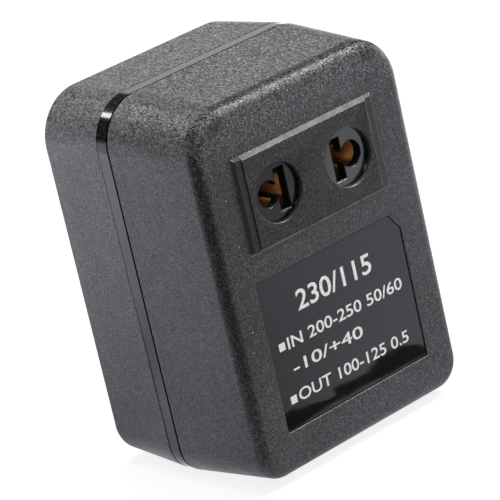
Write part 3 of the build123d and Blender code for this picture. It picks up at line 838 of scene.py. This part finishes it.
class Workshop:
    """Hand tools that several pieces share."""

    smooth_up_to: float = 32.0
    same_point: float = 0.0005

    @staticmethod
    def clear() -> None:
        """Deselects everything."""
        bpy.ops.object.select_all(action="DESELECT")

    @classmethod
    def pick(cls, piece: Piece) -> None:
        """Makes a piece the one that is selected and active."""
        cls.clear()
        piece.select_set(True)
        bpy.context.view_layer.objects.active = piece

    @staticmethod
    def placed(name: str, data: bpy.types.ID) -> Piece:
        """Puts an object with that name and that data in the scene."""
        piece = bpy.data.objects.new(name, data)
        bpy.context.scene.collection.objects.link(piece)
        return piece

    @staticmethod
    def weld(distance: float, outward: bool = False) -> None:
        """Joins the active piece's points closer than a distance in millimetres, and may turn it outward."""
        bpy.ops.object.mode_set(mode="EDIT")
        bpy.ops.mesh.select_all(action="SELECT")
        bpy.ops.mesh.remove_doubles(threshold=distance * MM)
        if outward:
            bpy.ops.mesh.normals_make_consistent(inside=False)
        bpy.ops.object.mode_set(mode="OBJECT")

    @classmethod
    def settle(cls, piece: Piece) -> None:
        """Puts a piece's place, turn and scale into its mesh."""
        cls.pick(piece)
        bpy.ops.object.transform_apply(location=True, rotation=True, scale=True)

    @staticmethod
    def dress(piece: Piece, material: Material, slot: str) -> None:
        """Gives a new piece its finish and its place on the body.

        Args:
            piece: The piece.
            material: Its finish.
            slot: The record's slot for that finish; not used.
        """
        piece.data.materials.clear()
        piece.data.materials.append(material)
        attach(piece, "root")
        LOG.info("%s: new piece, %d faces, %s", piece.name, len(piece.data.polygons), material.name)

    @classmethod
    def remade(cls, node: str, ending: str, material: Material, slot: str) -> None:
        """Puts a dressed copy in a solid's place, with its triangles joined for smooth rounds.

        Args:
            node: The solid's name.
            ending: What the copy's name adds to it.
            material: Its finish.
            slot: The record's slot for that finish.
        """
        piece = cls.placed(f"{node}_{ending}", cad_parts[node].data.copy())
        cls.pick(piece)
        if piece.data.has_custom_normals:
            bpy.ops.mesh.customdata_custom_splitnormals_clear()
        cls.weld(cls.same_point)
        bpy.ops.object.shade_smooth_by_angle(angle=math.radians(cls.smooth_up_to))
        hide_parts(node)
        cls.dress(piece, material, slot)

    @staticmethod
    def paint(node: str, material: Material) -> None:
        """Gives a solid its finish."""
        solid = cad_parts[node]
        if solid.material_slots:
            solid.material_slots[0].material = material
        else:
            solid.data.materials.append(material)
        LOG.info("%s: painted, %s", node, material.name)


@dataclass(frozen=True)
class ScrewSet:
    """Zinc-plated screws of one kind: their node, their finish's name, and their thread's ends and pitch."""

    node: str
    finish: str
    thread: Span
    pitch: float
    tarnish: Colour = (0.36, 0.36, 0.38)
    line_axis: str = "Z"
    tone: Colour = (0.55, 0.56, 0.57)
    slot: str = "screw"

    def build(self) -> None:
        """Dresses the screws."""
        zinc = StampedMetal(
            self.finish, self.tone, self.tarnish, self.line_axis, thread=self.thread, pitch=self.pitch
        )
        Workshop.remade(self.node, "turned", zinc.made(), self.slot)


@dataclass
class Casing:
    """The two moulded halves and the screws that hold them."""

    plastic: GrainedCase = GrainedCase("case_plastic")
    screws: ScrewSet = ScrewSet("shell_screws", "zinc_plate", (-21.4, -9.2), 1.1, (0.33, 0.34, 0.36), "X")

    def build(self) -> None:
        """Dresses the halves and their screws."""
        plastic = self.plastic.made()
        for half in Half:
            Workshop.remade(half.value, "moulding", plastic, "shell")
        self.screws.build()


@dataclass(frozen=True)
class PrintLine:
    """One printed line: its words, left end, foot, height and width in millimetres, and its boldness."""

    words: str
    left: float
    foot: float
    height: float
    width: float
    weight: float


@dataclass
class RatingLabel:
    """The black label in its pocket and the plain figures printed on it.

    Attributes:
        face: Where the label's face is along Y, in millimetres.
        ink: How far the ink stands proud of it, and how far it sinks in.
    """

    face: float = -37.7
    ink: float = 0.012
    curve_steps: int = 6
    same_point: float = 0.0001
    film: LabelFilm = LabelFilm("label_film")
    white: PrintedInk = PrintedInk("white_ink")
    lines: tuple[PrintLine, ...] = (
        PrintLine("230/115", -8.6, -20.8, 3.5, 17.1, 0.012),
        PrintLine("IN 200-250 50/60", -12.4, -26.1, 2.1, 26.6, 0.01),
        PrintLine("-10/+40", -12.3, -30.5, 2.1, 16.0, 0.01),
        PrintLine("OUT 100-125 0.5", -12.4, -35.4, 2.1, 25.6, 0.01),
        PrintLine("■", -14.3, -25.8, 1.35, 1.35, 0.0),
        PrintLine("■", -14.3, -35.2, 1.35, 1.35, 0.0),
    )

    def print_line(self, line: PrintLine, name: str) -> Piece:
        """Prints one line as a skin of ink on the label, and returns the ink under that name."""
        Workshop.clear()
        bpy.ops.object.text_add()
        words = bpy.context.object
        words.name = name
        words.data.body = line.words
        words.data.offset = line.weight
        words.data.resolution_u = self.curve_steps
        words.data.extrude = 0.5
        bpy.ops.object.convert(target="MESH")
        ink = bpy.context.object
        low = [min(point.co[axis] for point in ink.data.vertices) for axis in range(3)]
        high = [max(point.co[axis] for point in ink.data.vertices) for axis in range(3)]
        ink.data.transform(Matrix.Translation(-Vector((low[0], low[1], (low[2] + high[2]) / 2))))
        sizes = (line.width, line.height, 2 * self.ink)
        ink.scale = [size * MM / (end - start) for size, start, end in zip(sizes, low, high)]
        ink.rotation_euler = (math.radians(90), 0, 0)
        ink.location = (line.left * MM, self.face * MM, line.foot * MM)
        Workshop.settle(ink)
        Workshop.weld(self.same_point, outward=True)
        return ink

    def build(self) -> None:
        """Dresses the label and prints its lines."""
        Workshop.paint("rating_label", self.film.made())
        white = self.white.made()
        for count, line in enumerate(self.lines, 1):
            Workshop.dress(self.print_line(line, f"label_figures_{count}"), white, "label")


@dataclass
class SocketContacts:
    """The spring contacts behind the socket holes, the plate that holds them and its screws."""

    # The contacts' copper is painted dark above and below its middle as painted shadow.
    copper: StampedMetal = StampedMetal(
        "contact_copper", (0.95, 0.44, 0.16), (0.90, 0.36, 0.11),
        smooth=0.3, rough=0.45, bare=0.05, clean=1.45, shadow=0.9,
    )
    nylon: Moulding = Moulding("natural_nylon", (0.72, 0.69, 0.60), (0.62, 0.58, 0.48), glow=0.25)
    screws: ScrewSet = ScrewSet("contact_cover_screws", "small_zinc_plate", (-22.9, -16.8), 0.7)

    def build(self) -> None:
        """Dresses the contacts, their cover and its screws."""
        copper = self.copper.made()
        for side in Side:
            Workshop.paint(f"socket_contact_{side.word}", copper)
        Workshop.remade("contact_cover", "moulding", self.nylon.made(), "insulator")
        self.screws.build()


@dataclass
class Plug:
    """The plug pins with their sleeves, the plate that clamps them and its screws."""

    nickel: StampedMetal = StampedMetal(
        "nickel_plate", (0.66, 0.64, 0.60), (0.50, 0.48, 0.44),
        line_size=0.12, line_relief=(0.0008, 0.8), smooth=0.14, rough=0.26,
    )
    black: Moulding = Moulding("sleeve_plastic", (0.014, 0.014, 0.015), (0.020, 0.020, 0.021), 0.26, 0.38)
    nylon: Moulding = Moulding("retainer_nylon", (0.70, 0.67, 0.59), (0.60, 0.56, 0.47), glow=0.25)
    screws: ScrewSet = ScrewSet("pin_retainer_screws", "retainer_zinc_plate", (-7.0, -0.8), 0.7)

    def build(self) -> None:
        """Dresses the pins, sleeves, retainer and its screws."""
        nickel = self.nickel.made()
        black = self.black.made()
        for side in Side:
            Workshop.remade(f"plug_pin_{side.word}", "turned", nickel, "pin")
            Workshop.remade(f"pin_sleeve_{side.word}", "moulding", black, "sleeve")
        Workshop.remade("pin_retainer", "moulding", self.nylon.made(), "insulator")
        self.screws.build()


@dataclass
class Transformer:
    """The autotransformer: its core, bobbin, windings, tapes, posts, pads and thermal cut-out."""

    steel: VarnishedSteel = VarnishedSteel("varnished_sheets")
    foam: Foam = Foam("packing_foam")
    nylon: Moulding = Moulding("bobbin_nylon", (0.66, 0.62, 0.50), (0.56, 0.50, 0.38), glow=0.2)
    thick_wire: EnamelledTurns = EnamelledTurns("enamelled_wire_thick", (0.66, 0.24, 0.07), 0.45)
    thin_wire: EnamelledTurns = EnamelledTurns("enamelled_wire_thin", (0.74, 0.30, 0.09), 0.32)
    film: FilmTape = FilmTape("polyester_tape")
    tin: StampedMetal = StampedMetal("tinned_post", (0.62, 0.62, 0.60), (0.42, 0.42, 0.40), "Z")
    can: StampedMetal = StampedMetal("fuse_can", (0.63, 0.61, 0.56), (0.46, 0.43, 0.38), "Z")

    def build(self) -> None:
        """Dresses the transformer's pieces."""
        steel = self.steel.made()
        for node in ("core_e_stack", "core_i_stack"):
            Workshop.paint(node, steel)
        Workshop.paint("core_pads", self.foam.made())
        Workshop.paint("bobbin", self.nylon.made())
        Workshop.remade("common_winding", "wound", self.thick_wire.made(), "winding")
        Workshop.remade("series_winding", "wound", self.thin_wire.made(), "winding")
        tape = self.film.made()
        for node in ("layer_tape", "outer_tape"):
            Workshop.remade(node, "wound", tape, "tape")
        Workshop.paint("bobbin_terminals", self.tin.made())
        Workshop.remade("thermal_fuse", "can", self.can.made(), "fuse")


@dataclass
class Wiring:
    """The four insulated leads, brown from the pins and red to the contacts."""

    leads: tuple[tuple[str, Moulding], ...] = (
        ("pin_lead", Moulding("brown_insulation", (0.11, 0.035, 0.012), (0.085, 0.026, 0.009), 0.3, 0.42)),
        ("contact_lead", Moulding("red_insulation", (0.42, 0.018, 0.014), (0.34, 0.014, 0.011), 0.3, 0.42)),
    )

    def build(self) -> None:
        """Dresses the leads."""
        made = {kind: finish.made() for kind, finish in self.leads}
        for side in Side:
            for kind, material in made.items():
                Workshop.remade(f"{kind}_{side.word}", "insulated", material, kind)


@dataclass
class SoftBox:
    """One soft lamp: where it stands and looks, its width and height, and its power in watts."""

    name: str
    place: Place
    aim: Place
    width: float
    height: float
    power: float

    def build(self) -> None:
        """Puts the lamp up."""
        lamp = bpy.data.lights.new(self.name, "AREA")
        lamp.shape = "RECTANGLE"
        lamp.size = self.width
        lamp.size_y = self.height
        lamp.energy = self.power
        stand = Workshop.placed(self.name, lamp)
        stand.location = self.place
        look = Vector(self.aim) - Vector(self.place)
        stand.rotation_euler = look.to_track_quat("-Z", "Y").to_euler()
        LOG.info("%s: %.2f W", self.name, self.power)


@dataclass
class Studio:
    """The plain floor, the soft light and the camera.

    What the object mirrors is a fixed pattern of light on the floor and in the surroundings. It follows how
    much a direction from the object faces the viewer, from -1 behind the object to 1 before it.

    Attributes:
        backdrop: How bright the floor behind the object looks, and horizon the surroundings there.
        bounce: How much light the floor gives to what stands on it.
        near_reach: Up to where the floor behind the object is dim, in metres.
        far_reach: From where the floor before it is dim, in metres.
        shape_foot: Where the dark shape before it starts, along Y in millimetres.
        notches: Where the shape is less or more deep.
        ceiling_slope: How the ceiling's edge rises with X, and its height in the middle.
    """

    floor_height: float = -48.1
    floor_size: float = 6.0
    paper_tone: Colour = (0.86, 0.86, 0.86)
    paper_rough: float = 0.9
    paper_white: float = 1.04
    white_share: float = 0.82
    paper_glow: Colour = (0.977, 0.956, 1.067)
    bounce: float = 0.4
    centre: Place = (0.0, -0.02, 0.0)
    viewer: Place = (-0.61, -0.79, 0.0)
    behind: Span = (-0.25, 0.15)
    before: Span = (0.15, 0.92)
    before_tone: float = 0.06
    backdrop: float = 2.05
    near_reach: Span = (0.05, 0.20)
    near_facing: Span = (-0.1, 0.1)
    near_dim: float = -0.65
    far_reach: Span = (0.14, 0.21)
    far_facing: Span = (0.0, 0.2)
    far_dim: float = -0.25
    shape_foot: float = -55.5
    shape_depth: float = 5.4
    shape_edges: Span = (0.5, 0.8)
    shape_dim: float = -0.93
    notches: tuple[tuple[Zone, float], ...] = (
        (Zone("X", 9.9, 10.9, 3.3), -3.9),
        (Zone("X", 18.0, 20.5, 3.0), -1.6),
        (Zone("X", 27.5, 31.0, 3.5), 1.8),
        (Zone("X", 34.0, FAR, 2.5), -3.2),
    )
    horizon: float = 1.15
    ceiling_slope: Span = (0.3125, 0.224)
    ceiling_edge: Span = (-0.03, 0.06)
    ceiling_tone: float = 0.05
    sky_light: float = 0.32
    camera_place: Place = (-0.31943, -0.42839, 0.16429)
    camera_right: Place = (0.724022, -0.656272, -0.212365)
    camera_up: Place = (0.373206, 0.113788, 0.920744)
    camera_forward: Place = (0.580094, 0.745895, -0.32731)
    camera_clip: Span = (0.01, 20.0)
    lens: float = 234.912
    sensor: float = 36.0
    lamps: tuple[SoftBox, ...] = (
        SoftBox("top_box", (0.0, 0.10, 0.60), (0.0, -0.02, -0.02), 0.24, 0.24, 3.1),
        SoftBox("key_box", (0.36, -0.23, 0.45), (0.0, -0.02, -0.01), 0.18, 0.18, 4.4),
        SoftBox("rim_box", (-0.174, 0.484, 0.388), (-0.02, -0.016, 0.016), 0.40, 0.04, 0.95),
        SoftBox("fill_box", (-0.30, -0.50, 0.42), (0.0, -0.04, 0.0), 0.18, 0.18, 0.75),
    )

    def dark_shape(self, bench: Bench) -> Number:
        """Returns the mask of the uneven dark patch painted on the floor before the object, seen only in
        reflections, for the label to mirror.
        """
        depth: Number = self.shape_depth * MM
        for zone, change in self.notches:
            depth = bench.scaled(bench.mask(zone), change * MM, depth)
        along = bench.axes["Y"]
        foot = self.shape_foot
        far_edge, near_edge = self.shape_edges
        return bench.both(
            bench.spread(bench.calc("ADD", along, depth), (foot - far_edge) * MM, foot * MM),
            bench.spread(along, foot * MM, (foot + near_edge) * MM, 1.0, 0.0),
        )

    def floor_glow(self, bench: Bench) -> Number:
        """Returns how bright each place on the floor is in reflections."""
        away = bench.node("ShaderNodeVectorMath", bench.place, self.centre, operation="SUBTRACT").outputs[0]
        ahead = bench.node("ShaderNodeVectorMath", away, operation="NORMALIZE").outputs[0]
        facing = bench.node(
            "ShaderNodeVectorMath", ahead, self.viewer, operation="DOT_PRODUCT"
        ).outputs["Value"]
        reach = bench.node("ShaderNodeVectorMath", away, operation="LENGTH").outputs["Value"]
        # Painted shadow: near the object and behind it, the floor is dim in reflections.
        near = bench.both(
            bench.spread(reach, *self.near_reach, 1.0, 0.0), bench.spread(facing, *self.near_facing, 1.0, 0.0)
        )
        far = bench.both(bench.spread(reach, *self.far_reach), bench.spread(facing, *self.far_facing))
        return bench.both(
            bench.spread(facing, *self.behind, self.backdrop, 1.0),
            bench.spread(facing, *self.before, 1.0, self.before_tone),
            bench.scaled(far, self.far_dim, 1.0),
            bench.scaled(self.dark_shape(bench), self.shape_dim, 1.0),
            bench.scaled(near, self.near_dim, 1.0),
        )

    def floor(self) -> None:
        """Lays the floor, which keeps the object's shadow."""
        Workshop.clear()
        bpy.ops.mesh.primitive_plane_add(size=self.floor_size, location=(0, 0, self.floor_height * MM))
        sheet = bpy.context.object
        sheet.name = "floor"
        Workshop.settle(sheet)
        bench = Bench("floor_paper")
        bench.surface(base_color=self.paper_tone, roughness=self.paper_rough, specular_ior_level=0.0)
        seen, shiny = bench.rays()
        glow = bench.node("ShaderNodeEmission", WHITE, self.paper_white).outputs[0]
        paper = bench.node("ShaderNodeMixShader", self.white_share, bench.shader.outputs[0], glow).outputs[0]
        bounce = bench.node("ShaderNodeEmission", WHITE, self.bounce).outputs[0]
        plain_look = bench.node("ShaderNodeMixShader", seen, bounce, paper).outputs[0]
        mirrored = bench.node("ShaderNodeEmission", self.paper_glow, self.floor_glow(bench)).outputs[0]
        look = bench.node("ShaderNodeMixShader", shiny, plain_look, mirrored).outputs[0]
        bench.feed(bench.output.inputs["Surface"], look)
        sheet.data.materials.append(bench.material)

    def sky(self) -> None:
        """Sets the surroundings: white, with a dark ceiling and a dark viewer's side for reflections."""
        world = bpy.data.worlds.new("surroundings")
        bpy.context.scene.world = world
        world.use_nodes = True
        desk = NodeDesk(world.node_tree)
        place = desk.node("ShaderNodeTexCoord").outputs["Generated"]
        across, along, up = desk.node("ShaderNodeSeparateXYZ", place).outputs
        height = desk.calc("SUBTRACT", up, desk.scaled(across, *self.ceiling_slope))
        facing = desk.calc(
            "ADD", desk.calc("MULTIPLY", across, self.viewer[0]), desk.calc("MULTIPLY", along, self.viewer[1])
        )
        mirrored = desk.both(
            desk.spread(height, *self.ceiling_edge, 1.0, self.ceiling_tone),
            desk.spread(facing, *self.behind, self.horizon, 1.0),
            desk.spread(facing, *self.before, 1.0, self.before_tone),
        )
        seen, shiny = desk.rays()
        lit = desk.calc("SUBTRACT", 1.0, desk.calc("ADD", shiny, seen))
        soft = desk.calc("MULTIPLY", lit, self.sky_light)
        shade = desk.node("ShaderNodeBackground")
        desk.feed(shade.inputs["Strength"], desk.calc("ADD", desk.scaled(shiny, mirrored, seen), soft))
        desk.node("ShaderNodeOutputWorld", shade.outputs[0])

    def camera(self) -> None:
        """Stands the camera at the picture's place."""
        lens = bpy.data.cameras.new("camera")
        lens.lens = self.lens
        lens.sensor_width = self.sensor
        lens.clip_start, lens.clip_end = self.camera_clip
        stand = Workshop.placed("camera", lens)
        back = tuple(-part for part in self.camera_forward)
        turn = Matrix((self.camera_right, self.camera_up, back)).transposed()
        stand.matrix_world = Matrix.Translation(self.camera_place) @ turn.to_4x4()
        bpy.context.scene.camera = stand

    def build(self) -> None:
        """Sets up the studio."""
        self.floor()
        self.sky()
        for lamp in self.lamps:
            lamp.build()
        self.camera()
        bpy.context.scene.view_settings.view_transform = "Standard"
        LOG.info("studio: floor, %d lamps, camera", len(self.lamps))


def main() -> None:
    """Builds every sub-assembly in order."""
    logging.basicConfig(level=logging.INFO, format="%(name)s %(message)s")
    for assembly in (Casing(), RatingLabel(), SocketContacts(), Plug(), Transformer(), Wiring(), Studio()):
        assembly.build()


if __name__ == "__main__":
    main()
